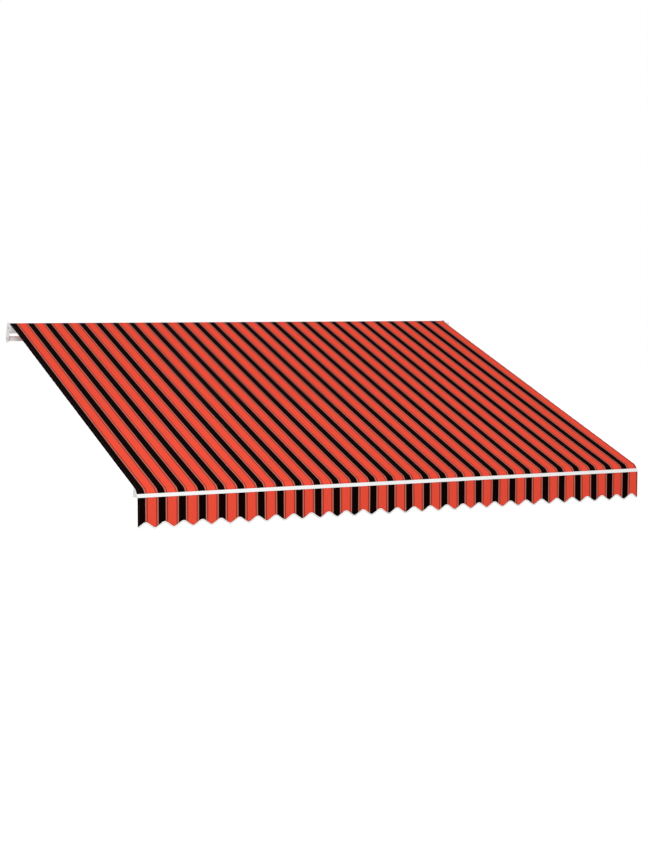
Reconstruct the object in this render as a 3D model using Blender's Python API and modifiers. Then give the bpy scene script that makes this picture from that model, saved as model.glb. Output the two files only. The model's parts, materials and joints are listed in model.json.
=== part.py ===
"""A retractable folding-arm awning, standing open.

Metres, +Z up. The wall is the plane Y = 0 and the awning reaches out towards -Y. X runs along the wall.
The origin is the middle of the back face of the middle wall bracket.

Three brackets hold a square torsion bar on the wall. Side plates on the bar's ends carry the roller, and
two supports on the bar carry the folding arms, which push the front bar out and keep the canvas tight.
Everything in front of the roller follows the canvas's slope, so it is modelled in a tilted frame.
"""

import math

import bmesh
import bpy
from mathutils import Matrix, Vector

# Canvas and slope
CANVAS_WIDTH = 4.0
CANVAS_THICKNESS = 0.001
SLOPE = math.radians(20.2)

# Clearances
GAP = 0.0003  # between pieces that touch
PIN_CLEARANCE = 0.0001  # around a pin in its bore
ROUND_STEPS = 24

# Wall brackets and torsion bar
BAR_SIDE = 0.040
BAR_WALL = 0.003
BRACKET_WIDTH = 0.10
BRACKET_HEIGHT = 0.16
BRACKET_PLATE = 0.010
BRACKET_LIP = 0.012
BRACKET_SPACING = 1.45
WALL_HOLE_RADIUS = 0.0055
WALL_HOLE_X = 0.030
WALL_HOLE_Z = 0.062
CLAMP_PLATE = 0.008
CLAMP_HEAD_RADIUS = 0.0075
CLAMP_HEAD_HEIGHT = 0.005
CLAMP_HEAD_X = 0.030
CLAMP_HEAD_Z = 0.0244

# Roller
ROLLER_OUT = 0.070  # from the wall to the roller's axis
ROLLER_UP = 0.085
TUBE_RADIUS = 0.035
TUBE_WALL = 0.0015
ROLL_THICKNESS = 0.003  # the turns of canvas that stay wound
PLUG_DEPTH = 0.05
AXLE_RADIUS = 0.006
BUSH_WALL = 0.003
COVER_CLEARANCE = 0.0022  # from the canvas on the roller to the cover in front of it
COVER_WALL = 0.0015
COVER_TOP = math.radians(38)  # the cover's upper edge, above the roller's axis
COVER_BOTTOM = math.radians(80)  # its lower edge, below the axis
SIDE_PLATE = 0.005
SIDE_CLEARANCE = 0.004  # from the canvas's edge to the side plate
SIDE_MARGIN = 0.006  # the side plate's edge beyond the roll
SIDE_FOOT_RADIUS = 0.032
END_BLOCK_DEPTH = 0.04
SIDE_BOLT_RADIUS = 0.005
SIDE_BOLT_HEAD = 0.009

# Gearbox and crank eye
GEARBOX_DEPTH = 0.046
GEARBOX_SIZE_Y = 0.060
GEARBOX_SIZE_Z = 0.084
GEARBOX_DROP = 0.016  # its middle lies this far below the roller's axis
GEARBOX_ROUNDING = 0.006
AXLE_IN_GEARBOX = 0.022
EYE_SHAFT_RADIUS = 0.005
EYE_SHAFT_LENGTH = 0.055
EYE_SHAFT_IN = 0.020
EYE_RADIUS = 0.016
EYE_WIRE = 0.0045
EYE_SHARE = 0.6  # of the gearbox's depth, from its inner face to the eye's axis

# Folding arms, in the tilted frame
ARM_X = 1.75  # shoulder and front pivots, from the middle
ARM_DROP = 0.045  # arm plane below the canvas
SHOULDER_OUT = 0.110  # shoulder pivot, along the slope from the roller line
ARM_LENGTH = 1.515  # from pivot to pivot, the same for each arm
ARM_ANGLE = math.radians(18.12)  # between each open arm and the slope's fall line
PIVOT_OFFSET = 0.025  # from a pivot to its tube's middle line
ARM_WIDTH = 0.040
ARM_HEIGHT = 0.028
ARM_WALL = 0.0025
ARM_ROUNDING = 0.006
ARM_REACH = 0.050  # from a pivot to its tube's end
SPIGOT_LENGTH = 0.040
HUB_RADIUS = 0.021
EAR_RADIUS = 0.023
EAR_THICKNESS = 0.0065
EAR_GAP = 0.0005
WEB_CLEARANCE = 0.0035
WEB_INNER = 0.0061  # from a bracket's pivot to its web's inner face
FORK_WEB_INSET = 0.0075  # from an arm's inner side to the web of its elbow fork
PIN_RADIUS = 0.006
PIN_HEAD_RADIUS = 0.010
PIN_HEAD_HEIGHT = 0.003
SPRING_WALL = 0.003
SPRING_LENGTH = 0.55
SPRING_START = 0.12

# Shoulder brackets and the supports that clamp them to the torsion bar
SPINE_WIDTH = 0.046
SPINE_FRONT = 0.053  # from the shoulder pivot back to the spine
SPINE_DEPTH = 0.009
SPINE_SKEW = 0.005  # its lower end lies further back
SPINE_MARGIN = 0.0015  # the spine stands this far beyond the ears that grow from it
TILT_OUT = 0.095
TILT_UP = 0.008
TILT_RADIUS = 0.018
TILT_BOLT_RADIUS = 0.006
TILT_HEAD_RADIUS = 0.010
TILT_HEAD_HEIGHT = 0.007
TAIL_DROP = 0.024
TAIL_RADIUS = 0.010
PITCH_SCREW_RADIUS = 0.004
PITCH_HEAD_RADIUS = 0.007
PITCH_SCREW_LENGTH = 0.040
SUPPORT_WIDTH = 0.070
SUPPORT_LIP = 0.010
SUPPORT_FRONT = 0.074

# Front bar
FACE_ANGLE = math.radians(56.0)
NOSE_RADIUS = 0.068
NOSE_STEPS = 8
FACE_START = 0.0335  # white face, from the bar's corner
FACE_END = 0.0615
BAR_BACK = 0.035  # the bar reaches this far behind its corner
BAR_BACK_HEIGHT = 0.069
FRONT_WALL = 0.003
SLOT_RADIUS = 0.0033
SLOT_MOUTH = 0.003
BEAD_RADIUS = 0.0027
HEM_SLOT_DEPTH = 0.0085
VALANCE_SLOT_BACK = 0.0105
VALANCE_SLOT_UP = 0.0065
VALANCE_BACK = 0.003  # the valance hangs this far behind the face's lower edge
FRONT_CAP = 0.003
FRONT_PLATE = 0.006
FRONT_PLATE_WIDTH = 0.070
FRONT_PLATE_HEIGHT = 0.044
FRONT_PLATE_CLEARANCE = 0.004

# Valance
VALANCE_DROP = 0.1995  # from the face's lower edge to the tips of the wave
VALANCE_THICKNESS = 0.001
WAVE_PITCH = 0.1341
WAVE_HEIGHT = 0.036
WAVE_STEPS = 6
BINDING_HEIGHT = 0.010
BINDING_THICKNESS = 0.0024

# What follows from the sizes above
HALF = CANVAS_WIDTH / 2
BAR_OUT = BRACKET_PLATE + GAP + BAR_SIDE / 2
BAR_FRONT = BAR_OUT + BAR_SIDE / 2
BAR_CLEAR = BAR_SIDE / 2 + GAP
ROLL_RADIUS = TUBE_RADIUS + GAP + ROLL_THICKNESS
CANVAS_RADIUS = ROLL_RADIUS + GAP + CANVAS_THICKNESS
PLATE_X = HALF + SIDE_CLEARANCE
NOSE_TANGENT = NOSE_RADIUS * math.tan((FACE_ANGLE - SLOPE) / 2)
FRONT_SETBACK = PIVOT_OFFSET + ARM_WIDTH / 2 + FRONT_PLATE_CLEARANCE + FRONT_PLATE + GAP
SPAN = 2 * ARM_LENGTH * math.cos(ARM_ANGLE)  # from the shoulder pivots to the front ones
CANVAS_FALL = SHOULDER_OUT + SPAN + FRONT_SETBACK + BAR_BACK  # along the slope, to the front bar's corner
HUB_HEIGHT = ARM_HEIGHT
EAR_INNER = HUB_HEIGHT / 2 + EAR_GAP
EAR_OUTER = EAR_INNER + EAR_THICKNESS
HUB_ROOM = EAR_INNER + GAP
PIN_BORE = PIN_RADIUS + PIN_CLEARANCE
ROLL_LINE = (0, -ROLLER_OUT - CANVAS_RADIUS * math.sin(SLOPE), ROLLER_UP + CANVAS_RADIUS * math.cos(SLOPE))
SIDES = ((-1, "left"), (1, "right"))
GEARBOX_SIDE = "right"


def rgb(red, green, blue):
    """A colour given in 0 to 255 display values, as the linear value that Blender takes."""
    return tuple((c / 255) ** 2.2 for c in (red, green, blue)) + (1.0,)


def make_collection(name):
    collection = bpy.data.collections.new(name)
    bpy.context.scene.collection.children.link(collection)
    return collection


def make_material(name, colour, roughness, metallic):
    made = bpy.data.materials.new(name)
    made.use_nodes = True
    shader = made.node_tree.nodes["Principled BSDF"]
    shader.inputs["Base Color"].default_value = colour
    shader.inputs["Roughness"].default_value = roughness
    shader.inputs["Metallic"].default_value = metallic
    return made


for old in list(bpy.data.objects):
    bpy.data.objects.remove(old, do_unlink=True)
PARTS = make_collection("Folding-arm awning")
CUTTERS = make_collection("Cutters and joined shapes")

WHITE_PAINT = make_material("White powder coat", rgb(240, 240, 238), 0.4, 0.0)
WHITE_BAR = make_material("White front bar", rgb(246, 246, 244), 0.35, 0.0)
ZINC = make_material("Zinc steel", rgb(190, 192, 194), 0.35, 0.9)
PLASTIC = make_material("White plastic", rgb(236, 236, 232), 0.5, 0.0)
GREY_PLASTIC = make_material("Grey plastic", rgb(120, 122, 124), 0.5, 0.0)
CANVAS_CLOTH = make_material("Striped canvas", rgb(246, 84, 62), 0.85, 0.0)
VALANCE_CLOTH = make_material("Striped valance", rgb(235, 76, 56), 0.85, 0.0)
BINDING_TAPE = make_material("White binding", rgb(240, 240, 238), 0.8, 0.0)
STEEL_TUBE = make_material("Galvanised tube", rgb(176, 178, 180), 0.45, 0.8)


def make_frame(name, location, rotation=(0, 0, 0), parent=None):
    """An empty that carries the pieces placed in its own axes."""
    frame = bpy.data.objects.new(name, None)
    frame.location = location
    frame.rotation_euler = rotation
    frame.parent = parent
    PARTS.objects.link(frame)
    return frame


def make_object(name, mesh, look=None, parent=None):
    """A node when it has a material, and otherwise a shape that cuts or joins one."""
    made = bpy.data.objects.new(name, mesh)
    made.parent = parent
    if look is None:
        CUTTERS.objects.link(made)
        made.hide_render = True
        made.display_type = "WIRE"
    else:
        PARTS.objects.link(made)
        mesh.materials.append(look)
        mesh.shade_smooth()
        mesh.set_sharp_from_angle(angle=math.radians(30))
    return made


def box_mesh(name, low, high):
    """A box between two opposite corners, given in any order."""
    corners = [sorted(pair) for pair in zip(low, high)]
    size = [b - a for a, b in corners]
    middle = [(a + b) / 2 for a, b in corners]
    shape = bmesh.new()
    bmesh.ops.create_cube(shape, size=1.0)
    bmesh.ops.scale(shape, vec=size, verts=shape.verts)
    bmesh.ops.translate(shape, vec=middle, verts=shape.verts)
    mesh = bpy.data.meshes.new(name)
    shape.to_mesh(mesh)
    shape.free()
    return mesh


TURN = {
    "X": Matrix.Rotation(math.pi / 2, 4, "Y"),
    "Y": Matrix.Rotation(-math.pi / 2, 4, "X"),
    "Z": Matrix.Identity(4),
}


def cylinder_mesh(name, radius, start, end, axis="Z", centre=(0, 0), steps=ROUND_STEPS):
    """A cylinder along an axis, from start to end, with its centre on the other two axes in X, Y, Z order."""
    places = {"X": (0, *centre), "Y": (centre[0], 0, centre[1]), "Z": (*centre, 0)}
    middle = Vector(places[axis])
    middle["XYZ".index(axis)] = (start + end) / 2
    shape = bmesh.new()
    bmesh.ops.create_cone(
        shape, cap_ends=True, segments=steps, radius1=radius, radius2=radius, depth=abs(end - start)
    )
    bmesh.ops.transform(shape, matrix=Matrix.Translation(middle) @ TURN[axis], verts=shape.verts)
    mesh = bpy.data.meshes.new(name)
    shape.to_mesh(mesh)
    shape.free()
    return mesh


def turned_mesh(name, profile, axis="Z", centre=(0, 0, 0), steps=ROUND_STEPS):
    """A turned shape from a profile of (radius, height) points that runs down its outer side."""
    profile_mesh = bpy.data.meshes.new(name + " profile")
    points = [(radius, 0, height) for radius, height in profile]
    edges = [(i, i + 1) for i in range(len(points) - 1)]
    if profile[0][0] > 0:
        edges.append((len(points) - 1, 0))
    profile_mesh.from_pydata(points, edges, [])
    turned = bpy.data.objects.new(name + " profile", profile_mesh)
    bpy.context.scene.collection.objects.link(turned)
    screw = turned.modifiers.new("Turn", "SCREW")
    screw.steps = steps
    screw.render_steps = steps
    screw.use_merge_vertices = True
    screw.merge_threshold = 0.00001
    mesh = evaluated_mesh(turned, name)
    mesh.transform(Matrix.Translation(centre) @ TURN[axis])
    return mesh


def evaluated_mesh(source, name):
    """The mesh that an object's modifiers or curve give, with caps welded. The object is removed."""
    bpy.context.view_layer.update()
    graph = bpy.context.evaluated_depsgraph_get()
    mesh = bpy.data.meshes.new_from_object(source.evaluated_get(graph))
    mesh.name = name
    shape = bmesh.new()
    shape.from_mesh(mesh)
    bmesh.ops.remove_doubles(shape, verts=shape.verts, dist=0.00001)
    bmesh.ops.dissolve_degenerate(shape, dist=0.000001, edges=shape.edges)
    bmesh.ops.recalc_face_normals(shape, faces=shape.faces)
    shape.to_mesh(mesh)
    shape.free()
    bpy.data.objects.remove(source, do_unlink=True)
    return mesh


PLANES = {
    "XY": Matrix.Identity(4),
    "YZ": Matrix(((0, 0, 1, 0), (1, 0, 0, 0), (0, 1, 0, 0), (0, 0, 0, 1))),
    "XZ": Matrix(((1, 0, 0, 0), (0, 0, -1, 0), (0, 1, 0, 0), (0, 0, 0, 1))),
}

ACROSS = {"XY": "Z", "YZ": "X", "XZ": "Y"}


def plate_mesh(name, outlines, low, high, plane):
    """Flat outlines in a plane, each a list of points, filled and extruded from low to high across it.
    An outline inside another is a hole."""
    curve = bpy.data.curves.new(name, "CURVE")
    curve.dimensions = "2D"
    curve.fill_mode = "BOTH"
    curve.extrude = abs(high - low) / 2
    for outline in outlines:
        spline = curve.splines.new("POLY")
        spline.points.add(len(outline) - 1)
        for point, (u, v) in zip(spline.points, outline):
            point.co = (u, v, 0, 1)
        spline.use_cyclic_u = True
    flat = bpy.data.objects.new(name, curve)
    bpy.context.scene.collection.objects.link(flat)
    mesh = evaluated_mesh(flat, name)
    middle = Vector((0, 0, 0))
    middle["XYZ".index(ACROSS[plane])] = (low + high) / 2
    mesh.transform(Matrix.Translation(middle) @ PLANES[plane])
    return mesh


def combine(target, tools, operation):
    """Joins shapes to an object, or cuts them from it."""
    for number, mesh in enumerate(tools):
        tool = make_object(f"{target.name} {operation.lower()} {number + 1}", mesh, parent=target.parent)
        modifier = target.modifiers.new(tool.name, "BOOLEAN")
        modifier.operation = operation
        modifier.object = tool
        modifier.solver = "EXACT"


def join(target, *tools):
    combine(target, tools, "UNION")


def cut(target, *tools):
    combine(target, tools, "DIFFERENCE")


def circle(centre, radius, steps=ROUND_STEPS, start=0.0, sweep=2 * math.pi):
    """Points along a circle, or along an arc of it with both ends."""
    whole = abs(sweep) >= 2 * math.pi
    count = steps if whole else steps + 1
    angles = [start + sweep * i / steps for i in range(count)]
    return [(centre[0] + radius * math.cos(a), centre[1] + radius * math.sin(a)) for a in angles]


def hull(points):
    """The convex outline around points, anticlockwise."""
    ordered = sorted(set(points))
    outline = []
    for run in (ordered, ordered[::-1]):
        side = []
        for point in run:
            while len(side) > 1 and turn(side[-2], side[-1], point) <= 0:
                side.pop()
            side.append(point)
        outline += side[:-1]
    return outline


def turn(a, b, c):
    """Twice the area of the triangle a, b, c: positive where it turns left."""
    return (b[0] - a[0]) * (c[1] - a[1]) - (b[1] - a[1]) * (c[0] - a[0])


def rounded_rectangle(width, height, radius, steps=4):
    """A rectangle about the origin with round corners."""
    outline = []
    for quarter, (u, v) in enumerate(((1, 1), (-1, 1), (-1, -1), (1, -1))):
        centre = (u * (width / 2 - radius), v * (height / 2 - radius))
        outline += circle(centre, radius, steps, quarter * math.pi / 2, math.pi / 2)
    return outline


def rectangle(u0, v0, u1, v1):
    return [(u0, v0), (u1, v0), (u1, v1), (u0, v1)]


def pin_mesh(name, radius, head_radius, head_height, bottom, top, axis="Z", centre=(0, 0, 0)):
    """A pin from bottom to top, with its head above."""
    profile = [
        (0, top + head_height),
        (head_radius, top + head_height),
        (head_radius, top),
        (radius, top),
        (radius, bottom),
        (0, bottom),
    ]
    return turned_mesh(name, profile, axis, centre)


def outward(side):
    """Turns a shape that points along +X so that it points away from the middle on either side."""
    return Matrix.Identity(4) if side > 0 else Matrix.Rotation(math.pi, 4, "Z")


def make_torsion_bar(frame):
    """The square tube that carries everything, with a block in each end for the side plate's bolt."""
    end = PLATE_X - GAP
    half = BAR_SIDE / 2
    hollow = half - BAR_WALL
    outline = rectangle(-BAR_OUT - half, -half, -BAR_OUT + half, half)
    inner = rectangle(-BAR_OUT - hollow, -hollow, -BAR_OUT + hollow, hollow)
    bar = plate_mesh("bar", [outline, inner], -end, end, "YZ")
    make_object("torsion_bar", bar, WHITE_PAINT, frame)
    fit = hollow - GAP
    for side, word in SIDES:
        low = (side * (end - END_BLOCK_DEPTH), -BAR_OUT - fit, -fit)
        high = (side * end, -BAR_OUT + fit, fit)
        block = make_object(f"{word}_end_block", box_mesh("end block", low, high), ZINC, frame)
        bore = SIDE_BOLT_RADIUS + PIN_CLEARANCE
        start = side * (end - END_BLOCK_DEPTH - GAP)
        cut(block, cylinder_mesh("bore", bore, start, side * (end + GAP), "X", (-BAR_OUT, 0)))


def make_wall_bracket(frame, word, x):
    """A C-shaped bracket: back plate on the wall, and two lips that the bar lies between."""
    tall = BRACKET_HEIGHT / 2
    lip = BAR_CLEAR + BRACKET_LIP
    front = BAR_FRONT + GAP
    outline = [
        (0, -tall), (0, tall), (-BRACKET_PLATE, tall), (-BRACKET_PLATE, lip), (-front, lip),
        (-front, BAR_CLEAR), (-BRACKET_PLATE, BAR_CLEAR), (-BRACKET_PLATE, -BAR_CLEAR), (-front, -BAR_CLEAR),
        (-front, -lip),
        (-BRACKET_PLATE, -lip), (-BRACKET_PLATE, -tall),
    ]
    low = x - BRACKET_WIDTH / 2
    high = x + BRACKET_WIDTH / 2
    plate = plate_mesh("bracket", [outline], low, high, "YZ")
    bracket = make_object(f"wall_bracket_{word}", plate, WHITE_PAINT, frame)
    for hole_x in (-WALL_HOLE_X, WALL_HOLE_X):
        for hole_z in (-WALL_HOLE_Z, WALL_HOLE_Z):
            hole = (x + hole_x, hole_z)
            cut(bracket, cylinder_mesh("hole", WALL_HOLE_RADIUS, -BRACKET_PLATE - GAP, GAP, "Y", hole))


def make_bracket_clamp(frame, word, x):
    """The plate that closes a wall bracket in front of the bar, with its four bolt heads."""
    back = -BAR_FRONT - 2 * GAP
    front = back - CLAMP_PLATE
    tall = BAR_CLEAR + BRACKET_LIP
    low = (x - BRACKET_WIDTH / 2, back, -tall)
    high = (x + BRACKET_WIDTH / 2, front, tall)
    clamp = make_object(f"bracket_clamp_{word}", box_mesh("clamp", low, high), WHITE_PAINT, frame)
    inside = front + CLAMP_PLATE / 2
    end = front - CLAMP_HEAD_HEIGHT
    for head_x in (-CLAMP_HEAD_X, CLAMP_HEAD_X):
        for head_z in (-CLAMP_HEAD_Z, CLAMP_HEAD_Z):
            join(clamp, cylinder_mesh("head", CLAMP_HEAD_RADIUS, inside, end, "Y", (x + head_x, head_z), 6))


def make_side(frame, side, word):
    """One end of the awning: side plate, its bolt and the bush that the roller's axle turns in."""
    axis = (-ROLLER_OUT, ROLLER_UP)
    foot = (-BAR_OUT, 0)
    outline = hull(circle(axis, CANVAS_RADIUS + SIDE_MARGIN) + circle(foot, SIDE_FOOT_RADIUS))
    inner = side * PLATE_X
    outer = side * (PLATE_X + SIDE_PLATE)
    shape = plate_mesh("side plate", [outline], inner, outer, "YZ")
    plate = make_object(f"{word}_side_plate", shape, WHITE_PAINT, frame)
    bush_outer = AXLE_RADIUS + PIN_CLEARANCE + BUSH_WALL
    beyond = side * (PLATE_X + SIDE_PLATE + GAP)
    before = side * (PLATE_X - GAP)
    cut(plate, cylinder_mesh("bush hole", bush_outer + GAP, before, beyond, "X", axis))
    cut(plate, cylinder_mesh("bolt hole", SIDE_BOLT_RADIUS + PIN_CLEARANCE, before, beyond, "X", foot))
    ring = [
        (bush_outer, SIDE_PLATE / 2), (bush_outer, -SIDE_PLATE / 2),
        (AXLE_RADIUS + PIN_CLEARANCE, -SIDE_PLATE / 2), (AXLE_RADIUS + PIN_CLEARANCE, SIDE_PLATE / 2),
    ]
    middle = side * (PLATE_X + SIDE_PLATE / 2)
    make_object(f"{word}_roller_bush", turned_mesh("bush", ring, "X", (middle, *axis)), GREY_PLASTIC, frame)
    depth = SIDE_PLATE + GAP + END_BLOCK_DEPTH / 2
    bolt = pin_mesh("bolt", SIDE_BOLT_RADIUS, SIDE_BOLT_HEAD, SIDE_BOLT_RADIUS, -depth, GAP)
    bolt.transform(Matrix.Translation((outer, *foot)) @ outward(side) @ TURN["X"])
    make_object(f"{word}_side_bolt", bolt, ZINC, frame)


def make_roller(frame):
    """The roller tube with a plug and axle in each end, and the turns of canvas that stay wound on it."""
    axis = (0, -ROLLER_OUT, ROLLER_UP)
    inner = TUBE_RADIUS - TUBE_WALL
    tube = [(TUBE_RADIUS, HALF), (TUBE_RADIUS, -HALF), (inner, -HALF), (inner, HALF)]
    make_object("roller_tube", turned_mesh("tube", tube, "X", axis, 40), STEEL_TUBE, frame)
    bore = TUBE_RADIUS + GAP
    roll = [(ROLL_RADIUS, HALF), (ROLL_RADIUS, -HALF), (bore, -HALF), (bore, HALF)]
    make_object("canvas_roll", turned_mesh("roll", roll, "X", axis, 40), CANVAS_CLOTH, frame)
    for side, word in SIDES:
        flange = HALF + GAP
        outer_end = PLATE_X + SIDE_PLATE + (AXLE_IN_GEARBOX if word == GEARBOX_SIDE else GAP)
        plug_radius = inner - GAP
        profile = [
            (0, outer_end), (AXLE_RADIUS, outer_end), (AXLE_RADIUS, flange + SIDE_CLEARANCE / 2),
            (TUBE_RADIUS, flange + SIDE_CLEARANCE / 2), (TUBE_RADIUS, flange), (plug_radius, flange),
            (plug_radius, flange - PLUG_DEPTH), (0, flange - PLUG_DEPTH),
        ]
        plug = turned_mesh("plug", profile, "Z")
        plug.transform(Matrix.Translation(axis) @ outward(side) @ TURN["X"])
        make_object(f"{word}_roller_plug", plug, GREY_PLASTIC, frame)


def make_cover(frame):
    """The thin cover that keeps the wound canvas clean, held in front of the roller by the side plates."""
    axis = (-ROLLER_OUT, ROLLER_UP)
    inner = CANVAS_RADIUS + COVER_CLEARANCE
    start = math.pi - COVER_TOP
    sweep = COVER_TOP + COVER_BOTTOM
    outside = circle(axis, inner + COVER_WALL, ROUND_STEPS, start, sweep)
    inside = circle(axis, inner, ROUND_STEPS, start, sweep)
    end = PLATE_X - GAP
    make_object("roller_cover", plate_mesh("cover", [outside + inside[::-1]], -end, end, "YZ"), WHITE_PAINT, frame)


def make_gearbox(frame, side):
    """The winding gear's casing on one side plate, and the eye that the crank hooks into."""
    inner = PLATE_X + SIDE_PLATE + GAP
    middle_z = ROLLER_UP - GEARBOX_DROP
    low = (side * inner, -ROLLER_OUT - GEARBOX_SIZE_Y / 2, middle_z - GEARBOX_SIZE_Z / 2)
    high = (side * (inner + GEARBOX_DEPTH), -ROLLER_OUT + GEARBOX_SIZE_Y / 2, middle_z + GEARBOX_SIZE_Z / 2)
    casing = make_object("gearbox", box_mesh("casing", low, high), PLASTIC, frame)
    rounding = casing.modifiers.new("Round edges", "BEVEL")
    rounding.width = GEARBOX_ROUNDING
    rounding.segments = 3
    axle_end = side * (PLATE_X + SIDE_PLATE + AXLE_IN_GEARBOX + GAP)
    axis = (-ROLLER_OUT, ROLLER_UP)
    bore = AXLE_RADIUS + PIN_CLEARANCE
    cut(casing, cylinder_mesh("axle bore", bore, side * (inner - GAP), axle_end, "X", axis))
    eye_x = side * (inner + GEARBOX_DEPTH * EYE_SHARE)
    bottom = middle_z - GEARBOX_SIZE_Z / 2
    shaft_bore = EYE_SHAFT_RADIUS + PIN_CLEARANCE
    shaft_room = bottom + EYE_SHAFT_IN + GAP
    cut(casing, cylinder_mesh("eye bore", shaft_bore, bottom - GAP, shaft_room, "Z", (eye_x, -ROLLER_OUT)))
    shaft_end = bottom + EYE_SHAFT_IN - EYE_SHAFT_LENGTH
    eye_frame = make_frame("crank_eye_axis", (eye_x, -ROLLER_OUT, bottom), parent=frame)
    eye = circle((EYE_RADIUS, 0), EYE_WIRE, 10)
    ring_mesh = turned_mesh("eye ring", eye[::-1], "X", (0, 0, shaft_end - bottom - EYE_RADIUS))
    crank_eye = make_object("crank_eye", ring_mesh, ZINC, eye_frame)
    in_ring = shaft_end - bottom - EYE_WIRE / 2
    join(crank_eye, cylinder_mesh("eye shaft", EYE_SHAFT_RADIUS, in_ring, EYE_SHAFT_IN))


def slope_point(along, out_of_plane):
    """Row-frame Y and Z of a point of the tilted frame."""
    y = ROLL_LINE[1] - along * math.cos(SLOPE) - out_of_plane * math.sin(SLOPE)
    z = ROLL_LINE[2] - along * math.sin(SLOPE) + out_of_plane * math.cos(SLOPE)
    return y, z


def make_arm_support(frame, side, word):
    """The C-shaped support that grips the torsion bar from the front, with two cheeks for the tilt bolt."""
    x = side * ARM_X
    lip = BAR_CLEAR + SUPPORT_LIP
    back = -BAR_OUT + BAR_SIDE / 4
    outline = [
        (back, BAR_CLEAR), (back, lip), (-SUPPORT_FRONT, lip), (-SUPPORT_FRONT, -lip), (back, -lip),
        (back, -BAR_CLEAR), (-BAR_FRONT - GAP, -BAR_CLEAR), (-BAR_FRONT - GAP, BAR_CLEAR),
    ]
    low = x - SUPPORT_WIDTH / 2
    high = x + SUPPORT_WIDTH / 2
    grip = plate_mesh("support", [outline], low, high, "YZ")
    support = make_object(f"{word}_arm_support", grip, WHITE_PAINT, frame)
    tilt = (-TILT_OUT, TILT_UP)
    root = rectangle(-SUPPORT_FRONT + GAP, -lip, -SUPPORT_FRONT + SUPPORT_LIP, lip)
    cheek = hull(circle(tilt, TILT_RADIUS) + root)
    inner = SPINE_WIDTH / 2 + GAP
    for cheek_side in (-1, 1):
        near = x + cheek_side * inner
        far = x + cheek_side * SUPPORT_WIDTH / 2
        join(support, plate_mesh("cheek", [cheek], near, far, "YZ"))
    bore = TILT_BOLT_RADIUS + PIN_CLEARANCE
    cut(support, cylinder_mesh("tilt bore", bore, low - GAP, high + GAP, "X", tilt))


def make_tilt_fasteners(frame, side, word):
    """The bolt that the shoulder bracket tilts on, and the screw that sets its pitch."""
    x = side * ARM_X
    reach = SUPPORT_WIDTH / 2 + GAP
    end = reach + TILT_HEAD_HEIGHT
    profile = [
        (0, end), (TILT_HEAD_RADIUS, end), (TILT_HEAD_RADIUS, reach), (TILT_BOLT_RADIUS, reach),
        (TILT_BOLT_RADIUS, -reach), (TILT_HEAD_RADIUS, -reach), (TILT_HEAD_RADIUS, -end), (0, -end),
    ]
    bolt = turned_mesh("tilt bolt", profile, "X", (x, -TILT_OUT, TILT_UP))
    make_object(f"{word}_tilt_bolt", bolt, ZINC, frame)
    tip = -SUPPORT_FRONT - GAP
    head = tip - PITCH_SCREW_LENGTH
    line = (x, TILT_UP - TAIL_DROP)
    shank = cylinder_mesh("pitch screw", PITCH_SCREW_RADIUS, tip, head, "Y", line)
    screw = make_object(f"{word}_pitch_screw", shank, ZINC, frame)
    join(screw, cylinder_mesh("head", PITCH_HEAD_RADIUS, head + GAP, head - PITCH_SCREW_RADIUS, "Y", line, 6))


def make_shoulder_bracket(frame, slope_frame, side, word):
    """The cast bracket that tilts on the support and holds the arm's shoulder pin between two ears."""
    x = side * ARM_X
    front = SHOULDER_OUT - SPINE_FRONT
    top = -ARM_DROP + EAR_OUTER + SPINE_MARGIN
    bottom = -ARM_DROP - EAR_OUTER - SPINE_MARGIN
    spine = hull(
        circle((-TILT_OUT, TILT_UP), TILT_RADIUS)
        + circle((-TILT_OUT, TILT_UP - TAIL_DROP), TAIL_RADIUS)
        + [
            slope_point(front, top),
            slope_point(front - SPINE_DEPTH, top),
            slope_point(front, bottom),
            slope_point(front - SPINE_DEPTH - SPINE_SKEW, bottom),
        ]
    )
    low = x - SPINE_WIDTH / 2
    high = x + SPINE_WIDTH / 2
    casting = plate_mesh("spine", [spine], low, high, "YZ")
    bracket = make_object(f"{word}_shoulder_bracket", casting, WHITE_PAINT, frame)
    pivot = (x, -SHOULDER_OUT)
    back = -front + SPINE_DEPTH / 2
    half = SPINE_WIDTH / 2 - SPINE_MARGIN
    ear = hull(circle(pivot, EAR_RADIUS - SPINE_MARGIN) + rectangle(x - half, -front, x + half, back))
    web_outer = x + side * (half - SPINE_MARGIN)
    web = rectangle(web_outer, back - SPINE_MARGIN, x + side * WEB_INNER, -SHOULDER_OUT + HUB_RADIUS)
    tools = []
    for face in (-1, 1):
        near = -ARM_DROP + face * EAR_INNER
        far = -ARM_DROP + face * EAR_OUTER
        tools.append(plate_mesh("ear", [ear], near, far, "XY"))
    web_top = EAR_OUTER - EAR_THICKNESS / 2
    tools.append(plate_mesh("web", [web], -ARM_DROP - web_top, -ARM_DROP + web_top, "XY"))
    tilt_into(slope_frame, tools)
    join(bracket, *tools)
    arm_room = hinge_room(pivot)
    tilt_into(slope_frame, arm_room)
    tilt_radius = TILT_BOLT_RADIUS + PIN_CLEARANCE
    tilt_bore = cylinder_mesh("tilt bore", tilt_radius, low - GAP, high + GAP, "X", (-TILT_OUT, TILT_UP))
    screw_radius = PITCH_SCREW_RADIUS + PIN_CLEARANCE
    screw_end = -SUPPORT_FRONT - PITCH_SCREW_LENGTH - GAP
    screw_line = (x, TILT_UP - TAIL_DROP)
    screw_bore = cylinder_mesh("screw bore", screw_radius, -SUPPORT_FRONT, screw_end, "Y", screw_line)
    cut(bracket, *arm_room, tilt_bore, screw_bore)


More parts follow.
